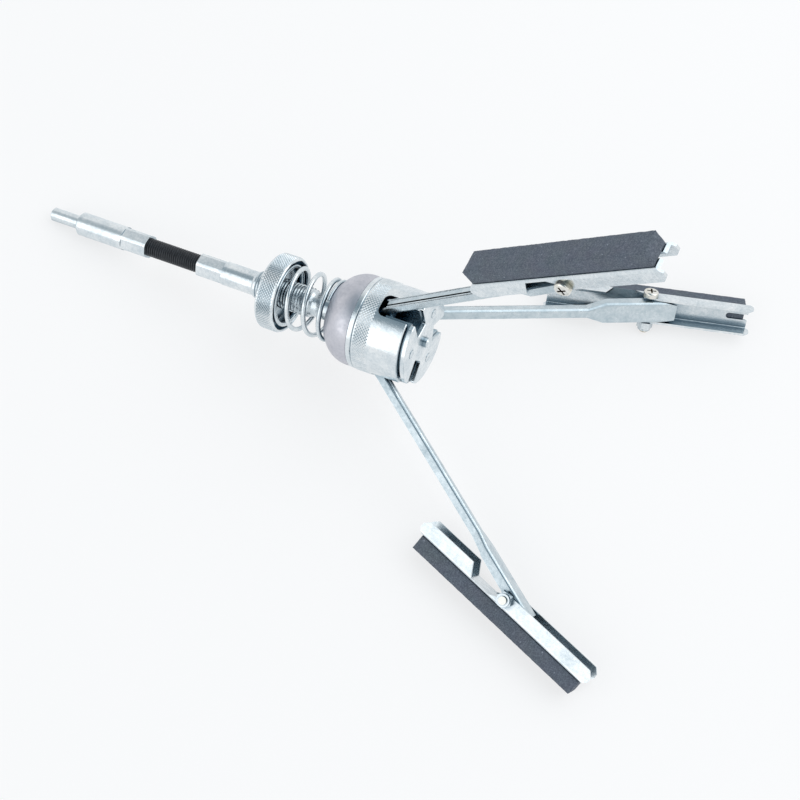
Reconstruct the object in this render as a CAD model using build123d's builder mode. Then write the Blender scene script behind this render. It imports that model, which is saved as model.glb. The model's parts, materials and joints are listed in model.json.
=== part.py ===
from build123d import *
import math
import os

# Three-leg cylinder hone, in mm: a flexible drive shaft, an adjusting nut, a sprung housing and three swinging
# legs, each with a pivoting holder and its abrasive stone. Stations are measured along the tool from the front
# edge of the housing, towards the stones. Leg 1 points up, legs 2 and 3 rest on the floor.

# drive shank, cable and spindle
SHANK_X, SHANK_STEP_X, SHANK_END_X = -211.4, -194.0, -152.0
SHANK_R, SHANK_CHAMFER = 3.5, 0.6
FERRULE_R, FERRULE_CHAMFER, CRIMP_L, CRIMP_DEPTH = 6.1, 0.8, 14.5, 0.45
CABLE_R, CORE_R = 4.7, 2.2
SPINDLE_X, SPINDLE_R = -121.4, 6.0
THREAD_X, THREAD_END_X, THREAD_R, THREAD_DEPTH, THREAD_RELIEF = -88.0, -57.0, 7.4, 0.5, 1.4
HUB_R, STUD_R, STUD_L, STUD_CHAMFER = 5.0, 2.5, 2.4, 0.6
RUN = 0.05  # radial clearance of the sliding and turning fits

# adjusting nut, washer and spring
NUT_X, NUT_L, NUT_R, NUT_CHAMFER = -80.0, 10.2, 19.3, 1.0
NUT_RECESS_R, NUT_RECESS = 16.6, 4.6
WASHER_T, WASHER_PLAY = 1.0, 0.3
WIRE, SPRING_R, SPRING_TURNS = 2.1, 13.9, 4.6

# housing: a pressed dome behind a sleeve, whose inner cone bears on the tails of the legs
HOUSE_R, HOUSE_WALL, HOUSE_CHAMFER = 23.0, 1.6, 0.4
SEAM_X, SEAM_STEP, GROOVE_X, GROOVE_W = -27.6, 0.35, -24.8, 0.8
DOME_X, DOME_SEAT_R, DOME_LIP, DOME_BULGE, DOME_PLAY = -43.0, 16.6, 0.8, 2.0, 0.3
CONE_X, CONE_R = -22.1, 12.15
CONE_FLOOR_X, CONE_FLOOR_R = -25.6, 8.4
NOTCH_X, NOTCH_W, NOTCH_CORNER = -16.0, 12.0, 3.0

# carrier, front plate and its rivets
CARRIER_X, CARRIER_R, SLOT_W, SLOT_FLOOR_R = -18.5, 20.8, 7.8, 6.9
PLATE_X, PLATE_T, PLATE_R, PLATE_FLAT_R, PLATE_EDGE = 1.6, 2.0, 22.3, 20.9, 0.3
WINDOW_W, WINDOW_CORNER, WINDOW_GAP = 9.0, 1.0, 0.5
RIVET_PCD_R, RIVET_R, RIVET_DEPTH, RIVET_HEAD_R, RIVET_HEAD = 14.2, 1.5, 8.0, 2.4, 0.9

# legs: pressed channels that widen to a fork round the holder's pivot
PIVOT_X, PIVOT_R, PIN_R, PIN_L = -14.1, 14.3, 1.5, 19.0
LEG_L, LEG_OFFSET, LEG_W, LEG_DEPTH, SHEET, BEND = 129.7, 7.5, 7.0, 6.0, 1.2, 2.4
TAIL, FLARE_L = 6.0, 9.0
FORK_BACK, FORK_STEP, FORK_RISE, EAR_R = 25.0, 2.4, 1.4, 3.4
FORK_PLAY, SHOULDER, TONGUE, TONGUE_W = 0.3, 5.1, 13.0, 8.6
OPEN_DEG, CLOSED_DEG = 38.2, -3.4

# stones and the channels that hold them, about the pivot screws
STONE_L, STONE_W, STONE_T, STONE_EDGE = 100.0, 12.4, 8.0, 0.4
WEB_H = 4.9  # outer face of the holder's web above the pivot
HOLDER_L, HOLDER_W, FLANGE_H, HOLDER_BEND, HOLDER_BEVEL = 106.0, 14.6, 7.6, 1.6, 2.6
GAP_BACK, GAP_SLOPE, LUG = 23.0, 4.0, 3.6  # cut-out of the flanges behind the pivot
WEB_HOLE_X, WEB_SLOT_X, WEB_HOLE_R = -44.0, 42.0, 1.6
HOLDER_1_DEG = 34.0
SCREW_R, SCREW_HEAD_R, SCREW_HEAD, SCREW_CROWN = 2.0, 3.8, 2.8, 1.1
CROSS_L, CROSS_W, CROSS_DEPTH = 4.6, 0.9, 1.3
LOCKNUT_AF, LOCKNUT_H, COLLAR_H, COLLAR_R, SCREW_END = 7.0, 4.8, 1.2, 3.2, 1.2

# the fork runs inside the holder's flanges
FORK_W = HOLDER_W - 2 * SHEET - FORK_PLAY
LEGS = {1: 0, 2: -120, 3: 120}


def placed(base, position=(0, 0, 0), angles=(0, 0, 0)):
    """Plane set from another by a shift and turns about its own axes."""
    return Plane(base * Location(position, angles))


def side(base, y=0):
    """Plane of a side outline: x along the base's x, y along its z."""
    return placed(base, (0, y, 0), (90, 0, 0))


def across(base, x=0):
    """Plane of a cross-section: x along the base's y, y along its z, facing forward."""
    return Plane(base.from_local_coords((x, 0, 0)), x_dir=base.y_dir, z_dir=base.x_dir)


def pivot_point():
    """Station and height of the holder's pivot on an open leg."""
    a = math.radians(OPEN_DEG)
    return (PIVOT_X + LEG_L * math.cos(a) - LEG_OFFSET * math.sin(a),
            PIVOT_R + LEG_L * math.sin(a) + LEG_OFFSET * math.cos(a))


def leg_plane(base, turn):
    return placed(placed(base, angles=(turn, 0, 0)), (PIVOT_X, 0, PIVOT_R), (0, -OPEN_DEG, 0))


def holder_plane(base, turn, tilt):
    x, r = pivot_point()
    return placed(placed(base, angles=(turn, 0, 0)), (x, 0, r), (0, -tilt, 0))


def lower_tilt():
    """Tilt at which the lower stones' long edges and the rim of the shank's tip lie on one floor."""
    x, r = pivot_point()
    reach = WEB_H + STONE_T - STONE_EDGE
    tilt = math.radians(20)
    for _ in range(60):
        depth = (r + reach * math.cos(tilt)) / 2 + STONE_W / 2 * math.sin(math.radians(60))
        slope = (depth - SHANK_R) / (x - reach * math.sin(tilt) - SHANK_X - SHANK_CHAMFER)
        tilt = math.atan(2 * slope)
    return math.degrees(tilt), math.degrees(math.atan(slope))


LOWER_DEG, INCLINE_DEG = lower_tilt()
TILTS = {1: HOLDER_1_DEG, 2: LOWER_DEG, 3: LOWER_DEG}

# the tool lies inclined, with the middle of its footprint under the origin and its lowest points at z = 0
lean = Plane(Location((0, 0, 0), (0, -INCLINE_DEG, 0)))
ends = [
    holder_plane(lean, LEGS[n], TILTS[n]).from_local_coords(point)
    for n in LEGS
    for point in ((HOLDER_L / 2, 0, WEB_H - FLANGE_H + HOLDER_BEVEL),
                  (HOLDER_L / 2, HOLDER_W / 2, WEB_H - FLANGE_H + HOLDER_BEVEL),
                  (HOLDER_L / 2, -HOLDER_W / 2, WEB_H - FLANGE_H + HOLDER_BEVEL),
                  (-STONE_L / 2, STONE_W / 2, WEB_H + STONE_T - STONE_EDGE),
                  (-STONE_L / 2, -STONE_W / 2, WEB_H + STONE_T - STONE_EDGE))
]
tip_top = lean.from_local_coords((SHANK_X, 0, SHANK_R - SHANK_CHAMFER))
tip_foot = lean.from_local_coords((SHANK_X + SHANK_CHAMFER, 0, -SHANK_R))
middle = (max(p.X for p in ends) + tip_top.X) / 2
floor = min([p.Z for p in ends] + [tip_foot.Z])
TOOL = Plane(Location((-middle, 0, -floor), (0, -INCLINE_DEG, 0)))
SPIN = Axis(TOOL.origin, TOOL.x_dir)

os.makedirs("parts", exist_ok=True)

# round shank for the drill chuck, stepped up to the ferrule that is crimped on the cable
with BuildPart() as drive_shank:
    with BuildSketch(side(TOOL)):
        with BuildLine():
            Polyline((SHANK_X, 0), (SHANK_X, SHANK_R - SHANK_CHAMFER), (SHANK_X + SHANK_CHAMFER, SHANK_R),
                     (SHANK_STEP_X, SHANK_R), (SHANK_STEP_X, FERRULE_R - FERRULE_CHAMFER),
                     (SHANK_STEP_X + FERRULE_CHAMFER, FERRULE_R), (SHANK_END_X - CRIMP_L, FERRULE_R),
                     (SHANK_END_X - CRIMP_L, 0), close=True)
        make_face()
    revolve(axis=SPIN)
    with BuildSketch(across(TOOL, SHANK_END_X - CRIMP_L)):
        RegularPolygon(FERRULE_R - CRIMP_DEPTH, 6, major_radius=False)
        Circle(FERRULE_R, mode=Mode.INTERSECT)
        Circle(CABLE_R, mode=Mode.SUBTRACT)
    extrude(amount=CRIMP_L)
drive_shank.part.label = "drive_shank"
export_step(drive_shank.part, "parts/drive_shank.step")

# wound flexible cable over its core, from the bottom of one crimped socket to the other
with BuildPart() as flex_cable:
    with BuildSketch(across(TOOL, SHANK_END_X - CRIMP_L)):
        Circle(CABLE_R)
        Circle(CORE_R, mode=Mode.SUBTRACT)
    extrude(amount=SPINDLE_X - SHANK_END_X + 2 * CRIMP_L)
flex_cable.part.label = "flex_cable"
export_step(flex_cable.part, "parts/flex_cable.step")

with BuildPart() as cable_core:
    with BuildSketch(across(TOOL, SHANK_END_X - CRIMP_L)):
        Circle(CORE_R)
    extrude(amount=SPINDLE_X - SHANK_END_X + 2 * CRIMP_L)
cable_core.part.label = "cable_core"
export_step(cable_core.part, "parts/cable_core.step")

# spindle: crimped socket, root of the thread, guide for the housing, hub and riveted stud
root_r = THREAD_R - THREAD_DEPTH
stud_x = PLATE_X + PLATE_T + STUD_L
with BuildPart() as spindle:
    with BuildSketch(side(TOOL)):
        with BuildLine():
            Polyline((SPINDLE_X + CRIMP_L, 0), (SPINDLE_X + CRIMP_L, FERRULE_R),
                     (THREAD_X - THREAD_RELIEF, FERRULE_R), (THREAD_X, root_r), (THREAD_END_X, root_r),
                     (THREAD_END_X + THREAD_RELIEF, SPINDLE_R), (CARRIER_X, SPINDLE_R), (CARRIER_X, HUB_R),
                     (PLATE_X, HUB_R), (PLATE_X, STUD_R), (stud_x - STUD_CHAMFER, STUD_R),
                     (stud_x, STUD_R - STUD_CHAMFER), (stud_x, 0), close=True)
        make_face()
    revolve(axis=SPIN)
    with BuildSketch(across(TOOL, SPINDLE_X)):
        RegularPolygon(FERRULE_R - CRIMP_DEPTH, 6, major_radius=False)
        Circle(FERRULE_R, mode=Mode.INTERSECT)
        Circle(CABLE_R, mode=Mode.SUBTRACT)
    extrude(amount=CRIMP_L)
spindle.part.label = "spindle"
export_step(spindle.part, "parts/spindle.step")

# round adjusting nut, recessed in front for the washer and the end of the spring
with BuildPart() as adjusting_nut:
    with BuildSketch(side(TOOL)):
        with BuildLine():
            Polyline((NUT_X, THREAD_R + RUN), (NUT_X, NUT_R - NUT_CHAMFER), (NUT_X + NUT_CHAMFER, NUT_R),
                     (NUT_X + NUT_L - NUT_CHAMFER, NUT_R), (NUT_X + NUT_L, NUT_R - NUT_CHAMFER),
                     (NUT_X + NUT_L, NUT_RECESS_R), (NUT_X + NUT_L - NUT_RECESS, NUT_RECESS_R),
                     (NUT_X + NUT_L - NUT_RECESS, THREAD_R + RUN), close=True)
        make_face()
    revolve(axis=SPIN)
adjusting_nut.part.label = "adjusting_nut"
export_step(adjusting_nut.part, "parts/adjusting_nut.step")

washer_x = NUT_X + NUT_L - NUT_RECESS
with BuildPart() as thrust_washer:
    with BuildSketch(across(TOOL, washer_x)):
        Circle(NUT_RECESS_R - WASHER_PLAY)
        Circle(THREAD_R + 2 * RUN, mode=Mode.SUBTRACT)
    extrude(amount=WASHER_T)
thrust_washer.part.label = "thrust_washer"
export_step(thrust_washer.part, "parts/thrust_washer.step")

# compression spring between the washer and the back of the dome
coil_x = washer_x + WASHER_T + WIRE / 2
coil_l = DOME_X - WIRE / 2 - coil_x
with BuildPart() as compression_spring:
    with BuildLine() as coil:
        Helix(coil_l / SPRING_TURNS, coil_l, SPRING_R, center=TOOL.from_local_coords((coil_x, 0, 0)),
              direction=TOOL.x_dir)
    with BuildSketch(Plane(coil.line @ 0, z_dir=coil.line % 0)):
        Circle(WIRE / 2)
    sweep(path=coil.line, is_frenet=True)
compression_spring.part.label = "compression_spring"
export_step(compression_spring.part, "parts/compression_spring.step")

# pressed dome with a flat seat for the spring and a neck that slides on the spindle
dome_r = HOUSE_R - SEAM_STEP
with BuildPart() as housing_dome:
    with BuildSketch(side(TOOL)):
        with BuildLine():
            ThreePointArc((SEAM_X, dome_r), ((SEAM_X + 3 * DOME_X) / 4, dome_r - DOME_BULGE - DOME_LIP),
                          (DOME_X + DOME_LIP, DOME_SEAT_R))
            Polyline((DOME_X + DOME_LIP, DOME_SEAT_R), (DOME_X, DOME_SEAT_R - DOME_LIP),
                     (DOME_X, SPINDLE_R + DOME_PLAY), (SEAM_X, SPINDLE_R + DOME_PLAY), (SEAM_X, dome_r))
        make_face()
    revolve(axis=SPIN)
    offset(amount=-HOUSE_WALL, openings=housing_dome.faces().sort_by(SPIN)[-1])
housing_dome.part.label = "housing_dome"
export_step(housing_dome.part, "parts/housing_dome.step")

# sleeve with the inner cone, a groove beside the seam and a rounded notch over each leg
inner_r = HOUSE_R - HOUSE_WALL
with BuildPart() as housing_sleeve:
    with BuildSketch(side(TOOL)):
        with BuildLine():
            Polyline((SEAM_X, SPINDLE_R + RUN), (SEAM_X, HOUSE_R - HOUSE_CHAMFER),
                     (SEAM_X + HOUSE_CHAMFER, HOUSE_R), (GROOVE_X - GROOVE_W / 2, HOUSE_R),
                     (GROOVE_X, HOUSE_R - GROOVE_W / 2), (GROOVE_X + GROOVE_W / 2, HOUSE_R),
                     (-HOUSE_CHAMFER, HOUSE_R), (0, HOUSE_R - HOUSE_CHAMFER), (0, inner_r),
                     (CONE_X + inner_r - CONE_R, inner_r), (CONE_X + CONE_FLOOR_R - CONE_R, CONE_FLOOR_R),
                     (CONE_FLOOR_X, CONE_FLOOR_R), (CONE_FLOOR_X, SPINDLE_R + RUN), close=True)
        make_face()
    revolve(axis=SPIN)
    for turn in LEGS.values():
        with BuildSketch(placed(TOOL, angles=(turn, 0, 0))) as notch:
            with Locations((NOTCH_X, 0)):
                Rectangle(NOTCH_CORNER - NOTCH_X, NOTCH_W, align=(Align.MIN, Align.CENTER))
            fillet(notch.vertices().group_by(Axis.X)[0], NOTCH_CORNER)
        extrude(amount=HOUSE_R + HOUSE_WALL, mode=Mode.SUBTRACT)
housing_sleeve.part.label = "housing_sleeve"
export_step(housing_sleeve.part, "parts/housing_sleeve.step")

# carrier: three slots for the legs, a cross hole through each for its hinge pin, three rivet holes
with BuildPart() as carrier:
    with BuildSketch(side(TOOL)):
        with BuildLine():
            Polyline((CARRIER_X, HUB_R), (CARRIER_X, PIVOT_R), (CARRIER_X + CARRIER_R - PIVOT_R, CARRIER_R),
                     (PLATE_X, CARRIER_R), (PLATE_X, HUB_R), close=True)
        make_face()
    revolve(axis=SPIN)
    for turn in LEGS.values():
        azimuth = placed(TOOL, angles=(turn, 0, 0))
        with BuildSketch(side(azimuth)):
            with Locations((CARRIER_X, SLOT_FLOOR_R)):
                Rectangle(PLATE_X - CARRIER_X, CARRIER_R, align=(Align.MIN, Align.MIN))
        extrude(amount=SLOT_W / 2, both=True, mode=Mode.SUBTRACT)
        with BuildSketch(side(azimuth)):
            with Locations((PIVOT_X, PIVOT_R)):
                Circle(PIN_R)
        extrude(amount=CARRIER_R, both=True, mode=Mode.SUBTRACT)
    with BuildSketch(across(TOOL, PLATE_X)):
        with PolarLocations(RIVET_PCD_R, 3, start_angle=30):
            Circle(RIVET_R)
    extrude(amount=-RIVET_DEPTH, mode=Mode.SUBTRACT)
carrier.part.label = "carrier"
export_step(carrier.part, "parts/carrier.step")

# front plate: three lobes and three windows that clear the legs when they are closed
closed = math.radians(CLOSED_DEG)
window_r = PIVOT_R + (PLATE_X + PLATE_T - PIVOT_X) * math.sin(closed) - LEG_DEPTH / 2 - WINDOW_GAP
with BuildPart() as front_plate:
    with BuildSketch(across(TOOL, PLATE_X)) as outline:
        Circle(PLATE_R)
        RegularPolygon(PLATE_FLAT_R, 3, major_radius=False, rotation=30, mode=Mode.INTERSECT)
        with PolarLocations(window_r, 3, start_angle=90):
            Rectangle(PLATE_R, WINDOW_W, align=(Align.MIN, Align.CENTER), mode=Mode.SUBTRACT)
        fillet(outline.vertices(), WINDOW_CORNER)
        Circle(STUD_R, mode=Mode.SUBTRACT)
        with PolarLocations(RIVET_PCD_R, 3, start_angle=30):
            Circle(RIVET_R, mode=Mode.SUBTRACT)
    extrude(amount=PLATE_T)
    chamfer(front_plate.faces().sort_by(SPIN)[-1].outer_wire().edges(), PLATE_EDGE)
front_plate.part.label = "front_plate"
export_step(front_plate.part, "parts/front_plate.step")

with BuildPart() as plate_rivets:
    with BuildSketch(across(TOOL, PLATE_X - RIVET_DEPTH)):
        with PolarLocations(RIVET_PCD_R, 3, start_angle=30):
            Circle(RIVET_R)
    extrude(amount=RIVET_DEPTH + PLATE_T)
    with BuildSketch(across(TOOL, PLATE_X + PLATE_T)):
        with PolarLocations(RIVET_PCD_R, 3, start_angle=30):
            Circle(RIVET_HEAD_R)
    extrude(amount=RIVET_HEAD)
    fillet(plate_rivets.faces().group_by(SPIN)[-1].edges(), RIVET_HEAD / 2)
plate_rivets.part.label = "plate_rivets"
export_step(plate_rivets.part, "parts/plate_rivets.step")


def channel(plane, width, bottom, top, bend):
    """Face of a bent sheet channel, open upwards, on a cross-section plane."""
    with BuildSketch(plane) as section:
        with Locations((0, bottom)):
            Rectangle(width, top - bottom, align=(Align.CENTER, Align.MIN))
        with Locations((0, bottom + SHEET)):
            Rectangle(width - 2 * SHEET, top - bottom, align=(Align.CENTER, Align.MIN), mode=Mode.SUBTRACT)
        fillet(section.vertices().group_by(Axis.Y)[1], bend - SHEET)
        fillet(section.vertices().group_by(Axis.Y)[0], bend)
    return section.sketch


for n, turn in LEGS.items():
    azimuth = placed(TOOL, angles=(turn, 0, 0))
    with BuildPart() as hinge_pin:
        with BuildSketch(side(azimuth)):
            with Locations((PIVOT_X, PIVOT_R)):
                Circle(PIN_R)
        extrude(amount=PIN_L / 2, both=True)
    hinge_pin.part.label = f"hinge_pin_{n}"
    export_step(hinge_pin.part, f"parts/hinge_pin_{n}.step")

    # leg: the channel widens to the fork, whose ears rise to the pivot screw and whose tongue runs on
    leg_frame = leg_plane(TOOL, turn)
    low = -LEG_DEPTH / 2
    fork_x, shoulder_x, tongue_x = LEG_L - FORK_BACK, LEG_L + SHOULDER, LEG_L + TONGUE
    with BuildPart() as leg:
        root = channel(across(leg_frame, -TAIL - LEG_DEPTH), LEG_W, low, -low, BEND)
        extrude(root, amount=TAIL + LEG_DEPTH + fork_x - FLARE_L)
        flare = [channel(across(leg_frame, fork_x - FLARE_L), LEG_W, low, -low, BEND),
                 channel(across(leg_frame, fork_x), FORK_W, low, -low, BEND)]
        loft(flare)
        fork = channel(across(leg_frame, fork_x), FORK_W, low, LEG_OFFSET + EAR_R, BEND)
        extrude(fork, amount=tongue_x - fork_x)
        with BuildSketch(side(leg_frame)):
            with BuildLine():
                Polyline((-TAIL, -low), (fork_x, -low), (fork_x + FORK_RISE, -low + FORK_STEP),
                         (LEG_L - EAR_R, LEG_OFFSET))
                ThreePointArc((LEG_L - EAR_R, LEG_OFFSET), (LEG_L, LEG_OFFSET + EAR_R),
                              (LEG_L + EAR_R, LEG_OFFSET))
                Polyline((LEG_L + EAR_R, LEG_OFFSET), (shoulder_x, low + BEND), (tongue_x, low + BEND),
                         (tongue_x, low), (-TAIL, low))
                ThreePointArc((-TAIL, low), (-TAIL + low, 0), (-TAIL, -low))
            make_face()
        extrude(amount=HOLDER_W, both=True, mode=Mode.INTERSECT)
        with BuildSketch(leg_frame) as plan:
            with BuildLine():
                Polyline((-TAIL - LEG_DEPTH, -FORK_W / 2), (shoulder_x, -FORK_W / 2), (tongue_x, -TONGUE_W / 2),
                         (tongue_x, TONGUE_W / 2), (shoulder_x, FORK_W / 2), (-TAIL - LEG_DEPTH, FORK_W / 2),
                         close=True)
            make_face()
        extrude(amount=LEG_L, both=True, mode=Mode.INTERSECT)
        with BuildSketch(side(leg_frame)):
            Circle(PIN_R + RUN)
            with Locations((LEG_L, LEG_OFFSET)):
                Circle(SCREW_R + RUN)
        extrude(amount=HOLDER_W, both=True, mode=Mode.SUBTRACT)
    leg.part.label = f"leg_{n}"
    export_step(leg.part, f"parts/leg_{n}.step")

    # holder: the stone lies on the web, and the flanges are cut away behind the pivot to let the leg through
    holder_frame = holder_plane(TOOL, turn, TILTS[n])
    half, foot = HOLDER_L / 2, WEB_H - FLANGE_H
    with BuildPart() as stone_holder:
        upturned = across(placed(holder_frame, angles=(180, 0, 0)), -half)
        rail = channel(upturned, HOLDER_W, -WEB_H, -foot, HOLDER_BEND)
        extrude(rail, amount=HOLDER_L)
        with BuildSketch(side(holder_frame)):
            with BuildLine():
                Polyline((-half + HOLDER_BEVEL, WEB_H), (-half, WEB_H - HOLDER_BEVEL),
                         (-half, foot + HOLDER_BEVEL), (-half + HOLDER_BEVEL, foot), (-GAP_BACK, foot),
                         (-GAP_BACK + GAP_SLOPE, WEB_H - SHEET), (-LUG - GAP_SLOPE, WEB_H - SHEET),
                         (-LUG, WEB_H - SHEET - GAP_SLOPE / 2), (-LUG, foot), (half - HOLDER_BEVEL, foot),
                         (half, foot + HOLDER_BEVEL), (half, WEB_H - HOLDER_BEVEL), (half - HOLDER_BEVEL, WEB_H),
                         close=True)
            make_face()
            Circle(SCREW_R + RUN, mode=Mode.SUBTRACT)
        extrude(amount=HOLDER_W, both=True, mode=Mode.INTERSECT)
        with BuildSketch(placed(holder_frame, (0, 0, WEB_H))):
            with Locations((WEB_HOLE_X, 0), (WEB_SLOT_X, 0)):
                Circle(WEB_HOLE_R)
            with Locations((WEB_SLOT_X, 0)):
                Rectangle(half, 2 * WEB_HOLE_R, align=(Align.MIN, Align.CENTER))
        extrude(amount=-SHEET, mode=Mode.SUBTRACT)
    stone_holder.part.label = f"stone_holder_{n}"
    export_step(stone_holder.part, f"parts/stone_holder_{n}.step")

    with BuildPart() as stone:
        with BuildSketch(placed(holder_frame, (0, 0, WEB_H))):
            Rectangle(STONE_L, STONE_W)
        extrude(amount=STONE_T)
        chamfer(stone.edges().group_by(Axis(holder_frame.origin, holder_frame.z_dir))[-1], STONE_EDGE)
    stone.part.label = f"stone_{n}"
    export_step(stone.part, f"parts/stone_{n}.step")

    # pan-head screw through the flanges and the fork, with a lock nut on its end
    face = HOLDER_W / 2
    grip = 2 * face + LOCKNUT_H + SCREW_END
    with BuildPart() as pivot_screw:
        with BuildSketch(side(holder_frame, -face)):
            Circle(SCREW_HEAD_R)
        extrude(amount=SCREW_HEAD)
        fillet(pivot_screw.faces().sort_by(Axis(holder_frame.origin, holder_frame.y_dir))[0].edges(), SCREW_CROWN)
        with BuildSketch(side(holder_frame, -face)):
            Circle(SCREW_R)
        extrude(amount=-grip)
        with BuildSketch(side(holder_frame, -face - SCREW_HEAD)):
            Rectangle(CROSS_L, CROSS_W)
            Rectangle(CROSS_W, CROSS_L)
        extrude(amount=-CROSS_DEPTH, mode=Mode.SUBTRACT)
    pivot_screw.part.label = f"pivot_screw_{n}"
    export_step(pivot_screw.part, f"parts/pivot_screw_{n}.step")

    with BuildPart() as pivot_nut:
        with BuildSketch(side(holder_frame, face)):
            RegularPolygon(LOCKNUT_AF / 2, 6, major_radius=False)
            Circle(SCREW_R, mode=Mode.SUBTRACT)
        extrude(amount=COLLAR_H - LOCKNUT_H)
        with BuildSketch(side(holder_frame, face + LOCKNUT_H - COLLAR_H)):
            Circle(COLLAR_R)
            Circle(SCREW_R, mode=Mode.SUBTRACT)
        extrude(amount=-COLLAR_H)
    pivot_nut.part.label = f"pivot_nut_{n}"
    export_step(pivot_nut.part, f"parts/pivot_nut_{n}.step")

print("lower holders", round(LOWER_DEG, 3), "incline", round(INCLINE_DEG, 3), "tool origin", TOOL.origin)
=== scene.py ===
"""Three-leg cylinder hone: zinc-plated steel, knurls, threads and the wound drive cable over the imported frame."""
import json
import math

import bmesh
import bpy
import numpy as np
from mathutils import Matrix, Vector


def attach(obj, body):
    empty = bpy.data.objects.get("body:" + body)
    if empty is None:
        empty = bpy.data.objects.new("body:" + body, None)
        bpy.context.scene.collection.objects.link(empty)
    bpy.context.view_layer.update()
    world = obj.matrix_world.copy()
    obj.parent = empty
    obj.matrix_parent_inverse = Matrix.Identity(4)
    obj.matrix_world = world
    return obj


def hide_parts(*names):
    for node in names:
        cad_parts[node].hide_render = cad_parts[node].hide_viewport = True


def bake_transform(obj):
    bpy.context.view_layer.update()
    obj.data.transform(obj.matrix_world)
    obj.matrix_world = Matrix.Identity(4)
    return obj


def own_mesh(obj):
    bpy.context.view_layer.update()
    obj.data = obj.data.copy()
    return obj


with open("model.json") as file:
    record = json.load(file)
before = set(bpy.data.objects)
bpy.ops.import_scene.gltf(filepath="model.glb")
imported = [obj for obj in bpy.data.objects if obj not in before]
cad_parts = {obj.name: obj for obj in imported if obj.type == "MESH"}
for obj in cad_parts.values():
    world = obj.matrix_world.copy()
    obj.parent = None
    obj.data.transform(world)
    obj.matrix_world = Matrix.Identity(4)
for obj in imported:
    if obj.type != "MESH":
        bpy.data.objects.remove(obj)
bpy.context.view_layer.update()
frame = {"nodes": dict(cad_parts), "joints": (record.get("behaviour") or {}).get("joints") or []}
MM = 0.001
LEGS = (1, 2, 3)

# the tool's own frame, read from the joints: X along the axis towards the stones, Y to the left, Z up through leg 1
JOINTS = {j["name"]: j for j in frame["joints"]}
PIVOT_X, PIVOT_R = -14.1 * MM, 14.3 * MM
AXIS = Vector(JOINTS["housing_slide"]["axis"]).normalized()
SIDE = Vector((0, 1, 0))
UP = AXIS.cross(SIDE).normalized()
ORIGIN = Vector(JOINTS["leg_1_swing"]["pos_m"]) - AXIS * PIVOT_X - UP * PIVOT_R
TOOL = Matrix.Translation(ORIGIN) @ Matrix((AXIS, SIDE, UP)).transposed().to_4x4()
ALONG = TOOL @ Matrix.Rotation(math.pi / 2, 4, "Y")  # a piece grown along Z then lies along the tool

# wound cable between the two crimped sockets, in metres along the tool
CABLE_START, CABLE_MIDDLE, CABLE_END = -152.0 * MM, -136.7 * MM, -121.4 * MM
CABLE_WIRE_R, CABLE_COIL_R, CABLE_TURNS = 0.625 * MM, 4.07 * MM, 13
# compression spring with a closed turn at each end, between the washer and the dome
SPRING_START, SPRING_END = -73.4 * MM, -43.0 * MM
SPRING_WIRE_R, SPRING_COIL_R, SPRING_TURNS, SPRING_END_PITCH = 1.2 * MM, 14.9 * MM, 2.5, 2.5 * MM
SPRING_START_ANGLE = math.radians(13)
# thread of the spindle, a V ridge on the root that the solid has
THREAD_START, THREAD_PITCH, THREAD_TURNS = -87.6 * MM, 1.5 * MM, 20
THREAD_RIDGE, THREAD_CREST = 0.72 * MM, 7.4 * MM
# diamond knurls: pitch, height, and where each band starts. The pitch is coarser than the real 1.2 mm or so, which
# is too fine to show in a view of the whole tool
KNURL_PITCH = 1.6 * MM
NUT_R, NUT_KNURL_START, NUT_KNURL_ROWS, NUT_KNURL_HEIGHT = 19.0 * MM, -78.5 * MM, 10, 0.5 * MM
SLEEVE_R, SLEEVE_KNURL_START, SLEEVE_KNURL_ROWS, SLEEVE_KNURL_HEIGHT = 23.0 * MM, -23.5 * MM, 9, 0.3 * MM
# the stones' crumbled edges: size of a face, width and depth of the wear, and breadth of one bite
STONE_CELL, CHIP_WIDTH, CHIP_DEPTH, BITE = 0.6 * MM, 1.3 * MM, 0.45 * MM, 2.2 * MM
# turned pieces: closed outlines of station and radius, in millimetres
NUT_OUTLINE = ((-80, 7.45), (-80, 18.2), (-79.2, 19), (-70.3, 19), (-69.8, 18.6), (-69.8, 17.9), (-70.2, 17.6),
               (-74.4, 17.6), (-74.4, 7.45))
RIVET_OUTLINE = ((3.4, 0), (3.4, 2.4), (3.8, 2.3), (3.95, 2.0), (3.95, 1.5), (3.78, 1.3), (3.78, 0.9), (3.9, 0.6),
                 (3.9, 0))
RIVET_CIRCLE_R, RIVET_ANGLES = 14.2, (60, 180, 300)
# legs, in millimetres from the hinge pin: between it and the fork, the pressed strip is slimmer than its solid and
# lies further out. LEG_L and LEG_OFFSET place the screw, and the rest are heights and a share of the width
LEG_L, LEG_OFFSET = 129.7, 7.5
ROOT_HALF, STRIP_LOW, STRIP_TOP, STRIP_WIDTH = 3, 1.8, 6.6, 0.80
FORK_HEIGHTS = ((-ROOT_HALF, STRIP_LOW), (ROOT_HALF, STRIP_TOP), (5.4, 7.1), (7.5, 7.5),
                (LEG_OFFSET + 4, LEG_OFFSET + 4))
# stations along a leg: extra cuts, where each edge leaves the round root, where the width changes, and the fork
LEG_CUTS, FORK_START = (0, 1, 2, 3, 4, 5, 6, 7, 8, 95), 100
LOW_EDGE_RISES, TOP_EDGE_RISES, WIDTH_NARROWS, WIDTH_RETURNS = (2, 7), (0, 5), (4, 8), (94, 104)
# two lips folded in over the channel leave a narrow slot, a little off the middle
LIP_START, LIP_END, LIP_T, LIP_HALF, SLOT_LEFT, SLOT_RIGHT = 7.0, 97.0, 0.9, 2.5, -0.3, -1.2

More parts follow.
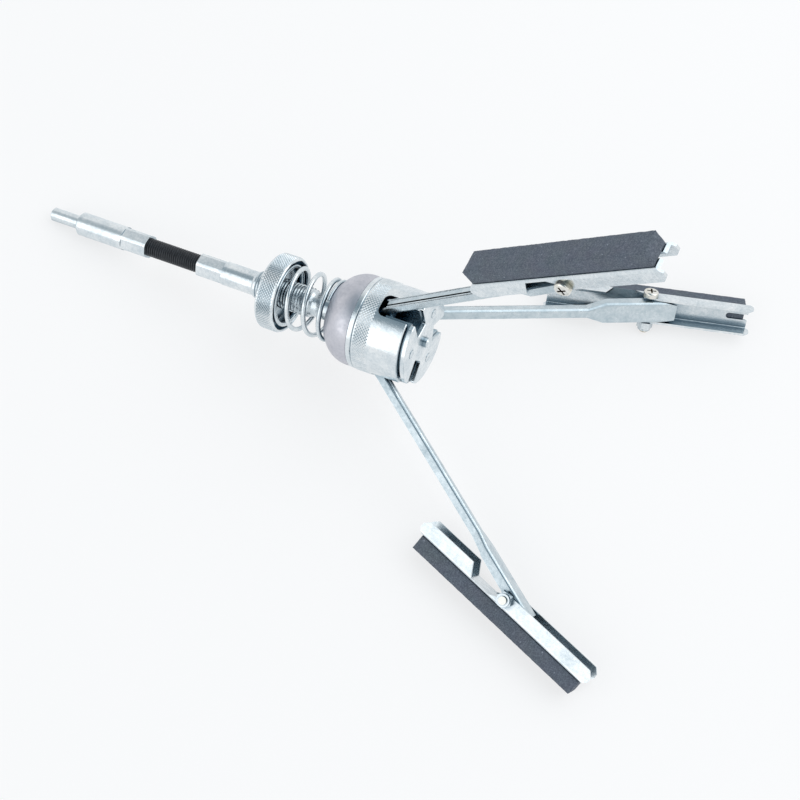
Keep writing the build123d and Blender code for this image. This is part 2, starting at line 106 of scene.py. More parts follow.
# zinc plate: clouds, flecks, rub marks, and how far out of a corner its painted shade reaches. Flecks and rub marks
# are coarser than real ones, by estimate a tenth of a millimetre, which are too fine to show
CLOUD, FLECK, RUB, PAINTED_SHADE_REACH = 7.0 * MM, 1.4 * MM, 0.55 * MM, 9.0 * MM
# depth of flecks and rub marks, and the scale along X that draws the rub marks out along the tool
SKIN_DEPTH, RUB_ALONG = 0.05 * MM, 0.18
# stone: grains, bright specks, paler patches and the grains' depth. The grains are coarser than real grit, by
# estimate 0.1 mm, which is too fine to show
GRAIN, SPECK, PATCH, GRAIN_DEPTH = 0.45 * MM, 1.1 * MM, 9.0 * MM, 0.12 * MM
# worn patches of the cable's black oxide
WIRE_WEAR = 1.6 * MM

# half the width of the floor in metres, and the share of even white that the eye sees on it
FLOOR_HALF, FLOOR_LIFT = 12.0, 0.7
# heights in the world's ramp where its white ends and its grey-blue begins
WHITE_TO, GREY_FROM, SKY_STRENGTH = 0.58, 0.88, 0.95
# camera, from the perspective fit to the photograph
LENS_MM, VIEW_POINT = 73.67, Vector((0.14936, -0.34576, 0.74012))
VIEW_RIGHT, VIEW_UP = Vector((0.899229, 0.434309, 0.05257)), Vector((-0.413295, 0.803963, 0.427586))


def hexcol(text):
    """sRGB hex to linear RGBA."""
    out = []
    for i in (1, 3, 5):
        c = int(text[i : i + 2], 16) / 255
        out.append(c / 12.92 if c <= 0.04045 else ((c + 0.055) / 1.055) ** 2.4)
    return (*out, 1.0)


def add(tree, kind, settings=None, **links):
    """Adds a node: settings set its properties, links set its inputs to values or join them to other sockets."""
    n = tree.nodes.new(kind)
    for key, value in (settings or {}).items():
        setattr(n, key, value)
    for key, value in links.items():
        name = key.replace("_", " ").strip()
        s = n.inputs[int(name[1:])] if name[0] == "i" and name[1:].isdigit() else n.inputs[name]
        if isinstance(value, bpy.types.NodeSocket):
            tree.links.new(value, s)
        else:
            s.default_value = value
    return n


def new_material(name):
    m = bpy.data.materials.new(name)
    m.use_nodes = True
    m.node_tree.nodes.clear()
    return m, m.node_tree


def stand(name, data):
    """Puts a mesh, a lamp or a camera into the scene."""
    made = bpy.data.objects.new(name, data)
    bpy.context.scene.collection.objects.link(made)
    return made


def zinc_plate(name, light, dark, recess, roughness, scratch=0.12):
    """Electroplated zinc over pressed or turned steel: cool blue-white metal, faintly cloudy, with fine rub marks.
    Corners and the insides of channels take a painted shade, a deeper colour laid in by ambient occlusion."""
    m, t = new_material(name)
    place = add(t, "ShaderNodeTexCoord").outputs["Object"]
    cloud = add(t, "ShaderNodeTexNoise", {"noise_dimensions": "3D"}, Vector=place, Scale=1 / CLOUD, Detail=3.0,
                Roughness=0.55)
    fleck = add(t, "ShaderNodeTexNoise", None, Vector=place, Scale=1 / FLECK, Detail=4.0, Roughness=0.6)
    mottle = add(t, "ShaderNodeMath", {"operation": "MULTIPLY_ADD"}, i0=fleck.outputs["Fac"], i1=0.9, i2=-0.45)
    mottle = add(t, "ShaderNodeMath", {"operation": "ADD", "use_clamp": True}, i0=mottle.outputs[0],
                 i1=cloud.outputs["Fac"])
    tint = add(t, "ShaderNodeMix", {"data_type": "RGBA"}, i0=mottle.outputs[0], i6=hexcol(dark), i7=hexcol(light))
    # painted shade: where ambient occlusion finds surfaces close by, in corners and channels, the colour turns to the
    # deeper recess colour
    corner = add(t, "ShaderNodeAmbientOcclusion", {"samples": 8, "only_local": False}, Distance=PAINTED_SHADE_REACH)
    painted_shade_fade = add(t, "ShaderNodeMapRange", None, Value=corner.outputs["AO"], i1=0.25, i2=0.9)
    tint = add(t, "ShaderNodeMix", {"data_type": "RGBA"}, i0=painted_shade_fade.outputs[0], i6=hexcol(recess),
               i7=tint.outputs[2])
    stretch = add(t, "ShaderNodeMapping", None, Vector=place, Scale=(RUB_ALONG, 1.0, 1.0))
    rub = add(t, "ShaderNodeTexNoise", None, Vector=stretch.outputs[0], Scale=1 / RUB, Detail=2.0)
    rough = add(t, "ShaderNodeMapRange", None, Value=mottle.outputs[0], i1=0.25, i2=0.75, i3=roughness * 1.35,
                i4=roughness * 0.75)
    skin = add(t, "ShaderNodeMath", {"operation": "MULTIPLY_ADD"}, i0=fleck.outputs["Fac"], i1=1.5,
               i2=rub.outputs["Fac"])
    bump = add(t, "ShaderNodeBump", None, Strength=scratch, Distance=SKIN_DEPTH, Height=skin.outputs[0])
    bsdf = add(t, "ShaderNodeBsdfPrincipled", None, Base_Color=tint.outputs[2], Metallic=1.0,
               Roughness=rough.outputs[0], Normal=bump.outputs[0])
    add(t, "ShaderNodeOutputMaterial", None, Surface=bsdf.outputs[0])
    return m


def abrasive_stone(name):
    """Vitrified silicon carbide: dark grey and matt, with fine grains of which a few catch the light."""
    m, t = new_material(name)
    place = add(t, "ShaderNodeTexCoord").outputs["Object"]
    grain = add(t, "ShaderNodeTexVoronoi", None, Vector=place, Scale=1 / GRAIN)
    patch = add(t, "ShaderNodeTexNoise", None, Vector=place, Scale=1 / PATCH, Detail=4.0)
    ramp = add(t, "ShaderNodeValToRGB", None, Fac=grain.outputs["Color"])
    dark, pale = ramp.color_ramp.elements
    dark.position, dark.color = 0.25, hexcol("#525a66")
    pale.position, pale.color = 0.93, hexcol("#6f7883")
    mix = add(t, "ShaderNodeMix", {"data_type": "RGBA", "blend_type": "MULTIPLY"}, i0=0.15, i6=ramp.outputs[0],
              i7=patch.outputs["Color"])
    speck = add(t, "ShaderNodeTexNoise", None, Vector=place, Scale=1 / SPECK, Detail=1.0)
    bright = add(t, "ShaderNodeMapRange", None, Value=speck.outputs["Fac"], i1=0.73, i2=0.80)
    mix = add(t, "ShaderNodeMix", {"data_type": "RGBA"}, i0=bright.outputs[0], i6=mix.outputs[2],
              i7=hexcol("#9da5b0"))
    bump = add(t, "ShaderNodeBump", None, Strength=0.5, Distance=GRAIN_DEPTH, Height=grain.outputs["Distance"])
    bsdf = add(t, "ShaderNodeBsdfPrincipled", None, Base_Color=mix.outputs[2], Roughness=0.85,
               Normal=bump.outputs[0])
    add(t, "ShaderNodeOutputMaterial", None, Surface=bsdf.outputs[0])
    return m


def blackened_wire(name):
    """Black-oxide spring wire, lightly oiled: nearly black with a soft sheen along each turn."""
    m, t = new_material(name)
    place = add(t, "ShaderNodeTexCoord").outputs["Object"]
    wear = add(t, "ShaderNodeTexNoise", None, Vector=place, Scale=1 / WIRE_WEAR, Detail=4.0)
    tint = add(t, "ShaderNodeMix", {"data_type": "RGBA"}, i0=wear.outputs["Fac"], i6=hexcol("#232528"),
               i7=hexcol("#43474c"))
    bsdf = add(t, "ShaderNodeBsdfPrincipled", None, Base_Color=tint.outputs[2], Metallic=0.7, Roughness=0.33)
    add(t, "ShaderNodeOutputMaterial", None, Surface=bsdf.outputs[0])
    return m


# bright plate of the turned and pressed pieces, and the duller one of rolled strip, which the legs are folded from
# each plate's third colour is the painted shade laid into its corners and channels
ZINC = zinc_plate("zinc_plated_steel", "#f4f7f8", "#bccad2", "#456a7d", 0.2, scratch=0.3)
STRIP = zinc_plate("zinc_plated_strip", "#dde5e9", "#a6b8c1", "#3e6275", 0.3, scratch=0.35)
# plate over a brushed dome: satin and faintly lilac
SATIN = zinc_plate("satin_zinc_plate", "#d3d3da", "#b6b9c2", "#7d828f", 0.4, scratch=0.2)
# plate with a pale yellow chromate, and a painted shade of darker yellow-brown in the screws' recesses
PALE_CHROMATE = zinc_plate("pale_yellow_chromate_zinc", "#e9eaea", "#d8d5c6", "#94804a", 0.2)
STONE = abrasive_stone("silicon_carbide_stone")
WIRE = blackened_wire("black_oxide_wire")

skins = {"flex_cable": WIRE, "cable_core": WIRE, "housing_dome": SATIN}
for n in LEGS:
    skins |= {f"stone_{n}": STONE, f"leg_{n}": STRIP, f"pivot_screw_{n}": PALE_CHROMATE}
for name, node in frame["nodes"].items():
    node.data.materials.clear()
    node.data.materials.append(skins.get(name, ZINC))


def sized_tree(name, sizes):
    """A Geometry Nodes tree with one named input for each size, and one for the material."""
    tree = bpy.data.node_groups.new(name, "GeometryNodeTree")
    for label, value in sizes.items():
        kind = "NodeSocketInt" if isinstance(value, int) else "NodeSocketFloat"
        tree.interface.new_socket(label, in_out="INPUT", socket_type=kind).default_value = value
    tree.interface.new_socket("Material", in_out="INPUT", socket_type="NodeSocketMaterial")
    tree.interface.new_socket("Geometry", in_out="OUTPUT", socket_type="NodeSocketGeometry")
    return tree, tree.nodes.new("NodeGroupInput").outputs


def close_tree(tree, size, geometry):
    """Ends a tree: instances made real, and the material set."""
    real = add(tree, "GeometryNodeRealizeInstances", None, Geometry=geometry)
    skin = add(tree, "GeometryNodeSetMaterial", None, Geometry=real.outputs[0], Material=size["Material"])
    tree.links.new(skin.outputs[0], tree.nodes.new("NodeGroupOutput").inputs[0])
    return tree


def grow(name, tree, skin, place, sizes):
    """Runs a tree with its inputs set by their identifiers, and keeps the result as a plain mesh in its place."""
    seed = stand(name + "_seed", bpy.data.meshes.new(name + "_seed"))
    grower = seed.modifiers.new(name, "NODES")
    grower.node_group = tree
    sockets = {s.name: s.identifier for s in tree.interface.items_tree if s.in_out == "INPUT"}
    for label, value in {**sizes, "Material": skin}.items():
        grower[sockets[label]] = value
    graph = bpy.context.evaluated_depsgraph_get()
    mesh = bpy.data.meshes.new_from_object(seed.evaluated_get(graph), depsgraph=graph)
    bpy.data.objects.remove(seed)
    mesh.name = name
    mesh.transform(place)
    return stand(name, mesh)


def spot_round_z(tree, angle, radius, rise):
    """The socket for a spot at an angle round Z, a radius out and a rise up."""
    east = add(tree, "ShaderNodeMath", {"operation": "COSINE"}, i0=angle)
    north = add(tree, "ShaderNodeMath", {"operation": "SINE"}, i0=angle)
    ring = add(tree, "ShaderNodeCombineXYZ", None, X=east.outputs[0], Y=north.outputs[0])
    ring = add(tree, "ShaderNodeVectorMath", {"operation": "SCALE"}, i0=ring.outputs[0], Scale=radius)
    lift = add(tree, "ShaderNodeCombineXYZ", None, Z=rise)
    return add(tree, "ShaderNodeVectorMath", {"operation": "ADD"}, i0=ring.outputs[0], i1=lift.outputs[0]).outputs[0]


def coiled_wire_tree():
    """A wire wound about Z: closed turns at both ends and open ones between, with a round or a V section."""
    tree, size = sized_tree("coiled_wire", {
        "Wire Radius": 0.001, "Coil Radius": 0.01, "Start": 0.0, "Start Angle": 0.0, "Turns": 1.0, "Pitch": 0.001,
        "Rear Turns": 0.5, "Front Turns": 0.5, "End Pitch": 0.001, "Sides": 8, "Steps": 24, "Smooth": 1})
    opened = add(tree, "ShaderNodeMath", {"operation": "ADD"}, i0=size["Rear Turns"], i1=size["Turns"])
    whole = add(tree, "ShaderNodeMath", {"operation": "ADD"}, i0=opened.outputs[0], i1=size["Front Turns"])
    steps = add(tree, "ShaderNodeMath", {"operation": "MULTIPLY_ADD"}, i0=whole.outputs[0], i1=size["Steps"],
                i2=1.0)
    line = add(tree, "GeometryNodeCurvePrimitiveLine")
    points = add(tree, "GeometryNodeResampleCurve", None, Curve=line.outputs[0], Count=steps.outputs[0])
    along = add(tree, "GeometryNodeSplineParameter")
    turn = add(tree, "ShaderNodeMath", {"operation": "MULTIPLY"}, i0=along.outputs["Factor"], i1=whole.outputs[0])
    angle = add(tree, "ShaderNodeMath", {"operation": "MULTIPLY_ADD"}, i0=turn.outputs[0], i1=math.tau,
                i2=size["Start Angle"])
    rear_rise = add(tree, "ShaderNodeMath", {"operation": "MULTIPLY_ADD"}, i0=size["Rear Turns"],
                    i1=size["End Pitch"], i2=size["Start"])
    front_rise = add(tree, "ShaderNodeMath", {"operation": "MULTIPLY"}, i0=size["Front Turns"],
                     i1=size["End Pitch"])
    open_rise = add(tree, "ShaderNodeMath", {"operation": "MULTIPLY"}, i0=size["Turns"], i1=size["Pitch"])
    first = add(tree, "ShaderNodeMapRange", None, Value=turn.outputs[0], i1=0.0, i2=size["Rear Turns"],
                i3=size["Start"], i4=rear_rise.outputs[0])
    middle = add(tree, "ShaderNodeMapRange", None, Value=turn.outputs[0], i1=size["Rear Turns"],
                 i2=opened.outputs[0], i3=0.0, i4=open_rise.outputs[0])
    last = add(tree, "ShaderNodeMapRange", None, Value=turn.outputs[0], i1=opened.outputs[0], i2=whole.outputs[0],
               i3=0.0, i4=front_rise.outputs[0])
    rise = add(tree, "ShaderNodeMath", {"operation": "ADD"}, i0=first.outputs[0], i1=middle.outputs[0])
    rise = add(tree, "ShaderNodeMath", {"operation": "ADD"}, i0=rise.outputs[0], i1=last.outputs[0])
    coil = add(tree, "GeometryNodeSetPosition", None, Geometry=points.outputs[0],
               Position=spot_round_z(tree, angle.outputs[0], size["Coil Radius"], rise.outputs[0]))
    coil = add(tree, "GeometryNodeSetCurveNormal", {"mode": "Z_UP"}, Curve=coil.outputs[0])
    section = add(tree, "GeometryNodeCurvePrimitiveCircle", {"mode": "RADIUS"}, Resolution=size["Sides"],
                  Radius=size["Wire Radius"])
    wire = add(tree, "GeometryNodeCurveToMesh", None, Curve=coil.outputs[0], Profile_Curve=section.outputs[0],
               Fill_Caps=True)
    shaded = add(tree, "GeometryNodeSetShadeSmooth", None, i0=wire.outputs[0], Shade_Smooth=size["Smooth"])
    return close_tree(tree, size, shaded.outputs[0])


def diamond_knurl_tree():
    """Four-sided points in staggered rows round Z, as a pair of knurling wheels rolls them into a rim."""
    tree, size = sized_tree("diamond_knurl", {
        "Radius": 0.01, "Start": 0.0, "Pitch": 0.001, "Height": 0.0003, "Around": 100, "Rows": 10,
        "Sink": 0.00002})
    count = add(tree, "ShaderNodeMath", {"operation": "MULTIPLY"}, i0=size["Around"], i1=size["Rows"])
    spots = add(tree, "GeometryNodePoints", None, Count=count.outputs[0])
    index = add(tree, "GeometryNodeInputIndex")
    share = add(tree, "ShaderNodeMath", {"operation": "DIVIDE"}, i0=index.outputs[0], i1=size["Around"])
    row = add(tree, "ShaderNodeMath", {"operation": "FLOOR"}, i0=share.outputs[0])
    stagger = add(tree, "ShaderNodeMath", {"operation": "MODULO"}, i0=row.outputs[0], i1=2.0)
    column = add(tree, "ShaderNodeMath", {"operation": "MULTIPLY_ADD"}, i0=stagger.outputs[0], i1=0.5,
                 i2=index.outputs[0])
    round_share = add(tree, "ShaderNodeMath", {"operation": "DIVIDE"}, i0=column.outputs[0], i1=size["Around"])
    angle = add(tree, "ShaderNodeMath", {"operation": "MULTIPLY"}, i0=round_share.outputs[0], i1=math.tau)
    half_pitch = add(tree, "ShaderNodeMath", {"operation": "MULTIPLY"}, i0=size["Pitch"], i1=0.5)
    rise = add(tree, "ShaderNodeMath", {"operation": "MULTIPLY_ADD"}, i0=row.outputs[0], i1=half_pitch.outputs[0],
               i2=size["Start"])
    seat = add(tree, "ShaderNodeMath", {"operation": "SUBTRACT"}, i0=size["Radius"], i1=size["Sink"])
    rows = add(tree, "GeometryNodeSetPosition", None, Geometry=spots.outputs[0],
               Position=spot_round_z(tree, angle.outputs[0], seat.outputs[0], rise.outputs[0]))
    outwards = add(tree, "ShaderNodeCombineXYZ", None, Y=math.pi / 2, Z=angle.outputs[0])
    point = add(tree, "GeometryNodeMeshCone", {"fill_type": "NGON"}, Vertices=4, Radius_Top=0.0,
                Radius_Bottom=half_pitch.outputs[0], Depth=size["Height"])
    flat = add(tree, "GeometryNodeSetShadeSmooth", None, i0=point.outputs[0], Shade_Smooth=False)
    rolled = add(tree, "GeometryNodeInstanceOnPoints", None, Points=rows.outputs[0], Instance=flat.outputs[0],
                 Rotation=outwards.outputs[0])
    return close_tree(tree, size, rolled.outputs[0])


def worn_stone_tree():
    """A sawn stone whose edges have crumbled unevenly: a fine block, pressed in along its edges by noise."""
    tree, size = sized_tree("worn_stone", {
        "Length": 0.1, "Width": 0.01, "Thickness": 0.01, "Along": 100, "Across": 10, "Deep": 10,
        "Chip Width": 0.001, "Chip Depth": 0.0005, "Seed": 0.0})
    corner = add(tree, "ShaderNodeCombineXYZ", None, X=size["Length"], Y=size["Width"], Z=size["Thickness"])
    block = add(tree, "GeometryNodeMeshCube", None, Size=corner.outputs[0], Vertices_X=size["Along"],
                Vertices_Y=size["Across"], Vertices_Z=size["Deep"])
    # how far a spot lies from the nearest edge: of its gaps to three faces, the sum of the two smaller ones
    place = add(tree, "GeometryNodeInputPosition")
    reach = add(tree, "ShaderNodeVectorMath", {"operation": "ABSOLUTE"}, i0=place.outputs[0])
    half = add(tree, "ShaderNodeVectorMath", {"operation": "SCALE"}, i0=corner.outputs[0], Scale=0.5)
    gaps = add(tree, "ShaderNodeVectorMath", {"operation": "SUBTRACT"}, i0=half.outputs[0], i1=reach.outputs[0])
    gap = add(tree, "ShaderNodeSeparateXYZ", None, Vector=gaps.outputs[0])
    most = add(tree, "ShaderNodeMath", {"operation": "MAXIMUM"}, i0=gap.outputs[0], i1=gap.outputs[1])
    most = add(tree, "ShaderNodeMath", {"operation": "MAXIMUM"}, i0=most.outputs[0], i1=gap.outputs[2])
    total = add(tree, "ShaderNodeMath", {"operation": "ADD"}, i0=gap.outputs[0], i1=gap.outputs[1])
    total = add(tree, "ShaderNodeMath", {"operation": "ADD"}, i0=total.outputs[0], i1=gap.outputs[2])
    edge = add(tree, "ShaderNodeMath", {"operation": "SUBTRACT"}, i0=total.outputs[0], i1=most.outputs[0])
    near = add(tree, "ShaderNodeMapRange", {"interpolation_type": "SMOOTHSTEP"}, Value=edge.outputs[0], i1=0.0,
               i2=size["Chip Width"], i3=1.0, i4=0.0)
    crumble = add(tree, "ShaderNodeTexNoise", {"noise_dimensions": "4D"}, Vector=place.outputs[0], W=size["Seed"],
                  Scale=1 / BITE, Detail=3.0, Roughness=0.7)
    uneven = add(tree, "ShaderNodeMapRange", None, Value=crumble.outputs[0], i1=0.4, i2=0.72, i3=0.6, i4=1.0)
    depth = add(tree, "ShaderNodeMath", {"operation": "MULTIPLY"}, i0=near.outputs[0], i1=uneven.outputs[0])
    depth = add(tree, "ShaderNodeMath", {"operation": "MULTIPLY"}, i0=depth.outputs[0], i1=size["Chip Depth"])
    inwards = add(tree, "ShaderNodeMath", {"operation": "MULTIPLY"}, i0=depth.outputs[0], i1=-1.0)
    outward = add(tree, "GeometryNodeInputNormal")
    push = add(tree, "ShaderNodeVectorMath", {"operation": "SCALE"}, i0=outward.outputs[0],
               Scale=inwards.outputs[0])
    worn = add(tree, "GeometryNodeSetPosition", None, Geometry=block.outputs[0], Offset=push.outputs[0])
    shaded = add(tree, "GeometryNodeSetShadeSmooth", None, i0=worn.outputs[0], Shade_Smooth=True)
    return close_tree(tree, size, shaded.outputs[0])


COIL, KNURL, WORN = coiled_wire_tree(), diamond_knurl_tree(), worn_stone_tree()

# drive cable: black wire wound turn against turn, in two halves
cable_sizes = {"Wire Radius": CABLE_WIRE_R, "Coil Radius": CABLE_COIL_R, "Turns": CABLE_TURNS - 1.0,
               "Pitch": 2 * CABLE_WIRE_R, "Rear Turns": 0.5, "Front Turns": 0.5, "End Pitch": 2 * CABLE_WIRE_R,
               "Sides": 10, "Steps": 28}
rear_winding = grow("rear_winding", COIL, WIRE, ALONG, {
    **cable_sizes, "Start": CABLE_MIDDLE - 2 * CABLE_WIRE_R * CABLE_TURNS})
front_winding = grow("front_winding", COIL, WIRE, ALONG, {**cable_sizes, "Start": CABLE_MIDDLE})
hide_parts("flex_cable")
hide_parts("flex_cable")
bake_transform(rear_winding)
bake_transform(front_winding)

# compression spring with closed ends, in two halves, of which the front one rides with the spindle
spring_pitch = (SPRING_END - SPRING_START - 2 * SPRING_WIRE_R - 2 * SPRING_END_PITCH) / SPRING_TURNS
half_turns, spring_middle = SPRING_TURNS / 2, (SPRING_START + SPRING_END) / 2
spring_sizes = {"Wire Radius": SPRING_WIRE_R, "Coil Radius": SPRING_COIL_R, "Turns": half_turns,
                "Pitch": spring_pitch, "End Pitch": SPRING_END_PITCH, "Sides": 16, "Steps": 64}
rear_spring = grow("rear_spring", COIL, ZINC, ALONG, {
    **spring_sizes, "Start": SPRING_START + SPRING_WIRE_R, "Start Angle": SPRING_START_ANGLE, "Rear Turns": 1.0,
    "Front Turns": 0.0})
front_spring = grow("front_spring", COIL, ZINC, ALONG, {
    **spring_sizes, "Start": spring_middle, "Start Angle": SPRING_START_ANGLE + math.tau * (1 + half_turns),
    "Rear Turns": 0.0, "Front Turns": 1.0})
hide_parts("compression_spring")
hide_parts("compression_spring")
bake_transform(rear_spring)
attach(front_spring, "spindle")
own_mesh(front_spring)

# cut thread under the nut and the spring
thread = grow("spindle_thread", COIL, ZINC, ALONG, {
    "Wire Radius": THREAD_RIDGE, "Coil Radius": THREAD_CREST - THREAD_RIDGE, "Start": THREAD_START,
    "Turns": THREAD_TURNS - 1.0, "Pitch": THREAD_PITCH, "Rear Turns": 0.5, "Front Turns": 0.5,
    "End Pitch": THREAD_PITCH, "Sides": 4, "Steps": 40, "Smooth": 0})
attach(thread, "spindle")

# knurls on the rim of the nut and round the sleeve
nut_knurl = grow("nut_knurl", KNURL, ZINC, ALONG, {
    "Radius": NUT_R, "Start": NUT_KNURL_START, "Pitch": KNURL_PITCH, "Height": NUT_KNURL_HEIGHT,
    "Around": round(math.tau * NUT_R / KNURL_PITCH), "Rows": NUT_KNURL_ROWS})
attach(nut_knurl, "nut")
sleeve_knurl = grow("sleeve_knurl", KNURL, ZINC, ALONG, {
    "Radius": SLEEVE_R, "Start": SLEEVE_KNURL_START, "Pitch": KNURL_PITCH, "Height": SLEEVE_KNURL_HEIGHT,
    "Around": round(math.tau * SLEEVE_R / KNURL_PITCH), "Rows": SLEEVE_KNURL_ROWS})
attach(sleeve_knurl, "housing")


def worn_stone(n):
    """Stone n, laid where its solid lies: the three spreads of the solid's corners give its length and width."""
    corners = np.unique(np.round([v.co[:] for v in frame["nodes"][f"stone_{n}"].data.vertices], 7), axis=0)
    spread = np.linalg.eigh(np.cov(corners.T))[1]
    along, across = Vector(spread[:, 2]), Vector(spread[:, 1])
    turn = Matrix((along, across, along.cross(across))).transposed()
    local = corners @ np.array(turn)
    low, high = local.min(axis=0), local.max(axis=0)
    place = Matrix.Translation(turn @ Vector((low + high) / 2)) @ turn.to_4x4()
    spans = [float(v) for v in high - low]
    stone = grow(f"worn_stone_{n}", WORN, STONE, place, {
        "Length": spans[0], "Width": spans[1], "Thickness": spans[2], "Along": round(spans[0] / STONE_CELL),
        "Across": round(spans[1] / STONE_CELL), "Deep": round(spans[2] / STONE_CELL), "Chip Width": CHIP_WIDTH,
        "Chip Depth": CHIP_DEPTH, "Seed": 7.0 * n})
    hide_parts(f"stone_{n}")
    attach(stone, f"holder_{n}")


for n in LEGS:
    worn_stone(n)


def made_mesh(name, bm, skin, sharp_from):
    """Ends a mesh made by hand: one material, and smooth faces that meet sharply from an angle in degrees."""
    mesh = bpy.data.meshes.new(name)
    bm.to_mesh(mesh)
    bm.free()
    mesh.materials.append(skin)
    mesh.shade_smooth()
    mesh.set_sharp_from_angle(angle=math.radians(sharp_from))
    return stand(name, mesh)


def turned(name, outline, places, steps=96):
    """A turned piece, or several alike: the closed outline spun about the X axis of each place."""
    bm = bmesh.new()
    for place in places:
        rings = []
        for i in range(steps):
            a = math.tau * i / steps
            rings.append([bm.verts.new(place @ Vector((x * MM, r * MM * math.cos(a), r * MM * math.sin(a))))
                          for x, r in outline])
        for i, ring in enumerate(rings):
            beside = rings[(i + 1) % steps]
            for k in range(len(outline)):
                last = (k + 1) % len(outline)
                if outline[k][1] or outline[last][1]:
                    bm.faces.new((ring[k], ring[last], beside[last], beside[k]))
    bmesh.ops.remove_doubles(bm, verts=bm.verts, dist=1e-6)
    bmesh.ops.recalc_face_normals(bm, faces=bm.faces)
    return made_mesh(name, bm, ZINC, sharp_from=25)


# the nut's rim is thin in front, round a wide recess for the washer
round_nut = turned("round_nut", NUT_OUTLINE, [TOOL])
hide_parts("adjusting_nut")
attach(round_nut, "nut")
# the front plate's rivets are peened nearly flush
peened_rivets = turned("peened_rivets", RIVET_OUTLINE, [
    TOOL @ Matrix.Rotation(math.radians(a), 4, "X") @ Matrix.Translation((0, 0, RIVET_CIRCLE_R * MM))
    for a in RIVET_ANGLES], steps=32)
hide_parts("plate_rivets")
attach(peened_rivets, "spindle")


def ease(value, start, end):
    """0 before start, 1 after end, and smooth between."""
    t = min(max((value - start) / (end - start), 0.0), 1.0)
    return t * t * (3 - 2 * t)


def between(value, table):
    """Straight-line reading of a table of (from, to) pairs; beyond its ends a value moves with the nearest pair."""
    low, high = table[0], table[-1]
    if value < low[0]:
        return value + low[1] - low[0]
    if value > high[0]:
        return value + high[1] - high[0]
    for (a, to_a), (b, to_b) in zip(table, table[1:]):
        if value <= b:
            return to_a + (to_b - to_a) * (value - a) / (b - a)


def pressed_leg(n):
    """Leg n: its solid's own channel, drawn slimmer and further out between the hinge pin and the fork's ears."""
    pin, screw = Vector(JOINTS[f"leg_{n}_swing"]["pos_m"]), Vector(JOINTS[f"screw_{n}_turn"]["pos_m"])
    across = -Vector(JOINTS[f"leg_{n}_swing"]["axis"]).normalized()
    along = Matrix.Rotation(math.atan2(LEG_OFFSET, LEG_L), 3, across) @ (screw - pin).normalized()
    place = Matrix.Translation(pin) @ Matrix((along, across, along.cross(across))).transposed().to_4x4()
    place = place @ Matrix.Scale(MM, 4)
    bm = bmesh.new()
    bm.from_mesh(frame["nodes"][f"leg_{n}"].data)
    bm.transform(place.inverted())
    bmesh.ops.remove_doubles(bm, verts=bm.verts, dist=0.0005)
    for cut in LEG_CUTS:
        bmesh.ops.bisect_plane(bm, geom=bm.verts[:] + bm.edges[:] + bm.faces[:], plane_co=(cut, 0, 0),
                               plane_no=(1, 0, 0), dist=0.0005)
    for v in bm.verts:
        x, y, z = v.co
        low = -ROOT_HALF + (STRIP_LOW + ROOT_HALF) * ease(x, *LOW_EDGE_RISES)
        top = ROOT_HALF + (STRIP_TOP - ROOT_HALF) * ease(x, *TOP_EDGE_RISES)
        slim = ease(x, *WIDTH_NARROWS) - ease(x, *WIDTH_RETURNS)
        v.co.z = between(z, FORK_HEIGHTS if x > FORK_START else ((-ROOT_HALF, low), (ROOT_HALF, top)))
        v.co.y = y * (1 + (STRIP_WIDTH - 1) * slim)
    for y0, y1 in ((SLOT_LEFT, LIP_HALF), (-LIP_HALF, SLOT_RIGHT)):
        for v in bmesh.ops.create_cube(bm, size=1.0)["verts"]:
            v.co = (LIP_END if v.co.x > 0 else LIP_START, y1 if v.co.y > 0 else y0,
                    STRIP_TOP if v.co.z > 0 else STRIP_TOP - LIP_T)
    bm.transform(place)
    piece = made_mesh(f"pressed_leg_{n}", bm, STRIP, sharp_from=32)
    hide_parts(f"leg_{n}")
    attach(piece, f"leg_{n}")


for n in LEGS:
    pressed_leg(n)


def white_paper(name):
    """White paper under soft light. The eye, and the metal that mirrors it, see it lifted to an even white with a pale
    shadow."""
    m, t = new_material(name)
    paper = add(t, "ShaderNodeBsdfDiffuse", None, Color=hexcol("#f6f7f9"))
    glow = add(t, "ShaderNodeEmission", None, Color=hexcol("#ffffff"), Strength=1.0)
    ray = add(t, "ShaderNodeLightPath")
    seen = add(t, "ShaderNodeMath", {"operation": "MAXIMUM"}, i0=ray.outputs["Is Camera Ray"],
               i1=ray.outputs["Is Glossy Ray"])
    seen = add(t, "ShaderNodeMath", {"operation": "MAXIMUM"}, i0=seen.outputs[0],
               i1=ray.outputs["Is Transmission Ray"])
    lift = add(t, "ShaderNodeMath", {"operation": "MULTIPLY"}, i0=seen.outputs[0], i1=FLOOR_LIFT)
    surface = add(t, "ShaderNodeMixShader", None, i0=lift.outputs[0], i1=paper.outputs[0], i2=glow.outputs[0])
    add(t, "ShaderNodeOutputMaterial", None, Surface=surface.outputs[0])
    return m


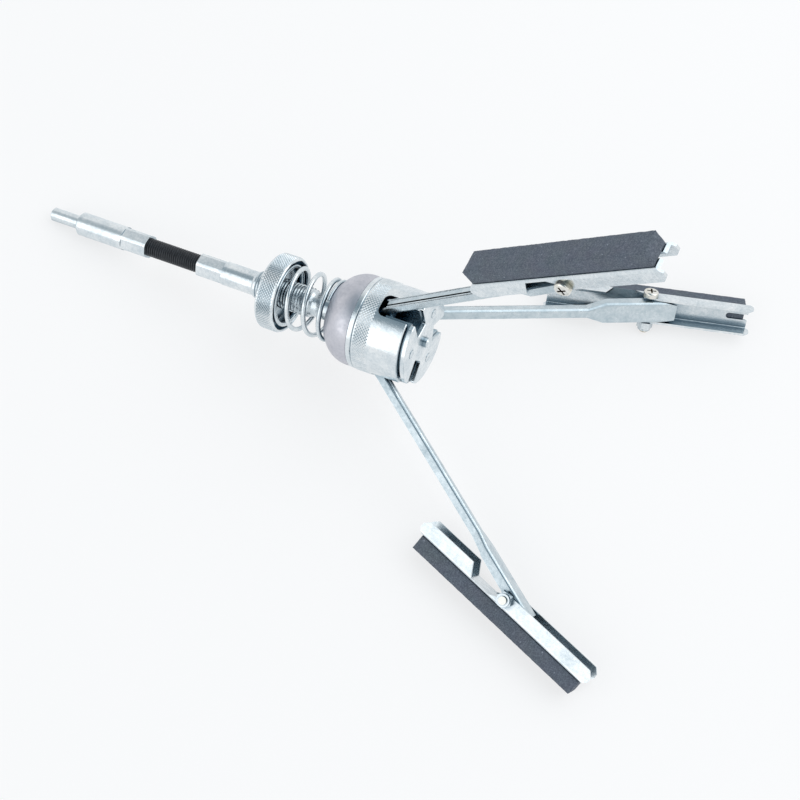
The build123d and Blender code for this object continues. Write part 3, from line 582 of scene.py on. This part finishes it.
floor_mesh = bpy.data.meshes.new("floor")
floor_mesh.from_pydata([(x * FLOOR_HALF, y * FLOOR_HALF, 0) for x, y in ((-1, -1), (1, -1), (1, 1), (-1, 1))], [],
                       [(0, 1, 2, 3)])
floor_mesh.materials.append(white_paper("white_paper_floor"))
floor = stand("floor", floor_mesh)

# a studio with white walls and a grey-blue ceiling, which gives the metal its darker streaks
world = bpy.data.worlds.new("studio")
bpy.context.scene.world = world
world.use_nodes = True
wt = world.node_tree
wt.nodes.clear()
direction = add(wt, "ShaderNodeTexCoord").outputs["Generated"]
split = add(wt, "ShaderNodeSeparateXYZ", None, Vector=direction)
ramp = add(wt, "ShaderNodeValToRGB", None, Fac=split.outputs["Z"])
walls, ceiling = ramp.color_ramp.elements
walls.position, walls.color = WHITE_TO, hexcol("#ffffff")
ceiling.position, ceiling.color = GREY_FROM, hexcol("#64808f")
sky = add(wt, "ShaderNodeBackground", None, Color=ramp.outputs[0], Strength=SKY_STRENGTH)
add(wt, "ShaderNodeOutputWorld", None, Surface=sky.outputs[0])


def softbox(name, place, size, power):
    """A square lamp turned towards the tool."""
    light = bpy.data.lights.new(name, "AREA")
    light.size, light.energy = size, power
    box = stand(name, light)
    box.location = place
    box.rotation_mode = "QUATERNION"
    box.rotation_quaternion = (-Vector(place)).to_track_quat("-Z", "Y")


softbox("key_softbox", place=(0.55, 0.45, 1.0), size=1.4, power=7.0)
softbox("fill_softbox", place=(-0.76, -1.06, 0.8), size=1.4, power=4.2)

cam_data = bpy.data.cameras.new("camera")
cam_data.sensor_width, cam_data.lens = 36.0, LENS_MM
cam_data.clip_start, cam_data.clip_end = 0.01, 20.0
cam = stand("camera", cam_data)
cam.rotation_mode = "QUATERNION"
facing = Matrix((VIEW_RIGHT, VIEW_UP, VIEW_RIGHT.cross(VIEW_UP))).transposed()
cam.matrix_world = Matrix.Translation(VIEW_POINT) @ facing.to_4x4()
bpy.context.scene.camera = cam
bpy.context.scene.view_settings.view_transform = "Standard"
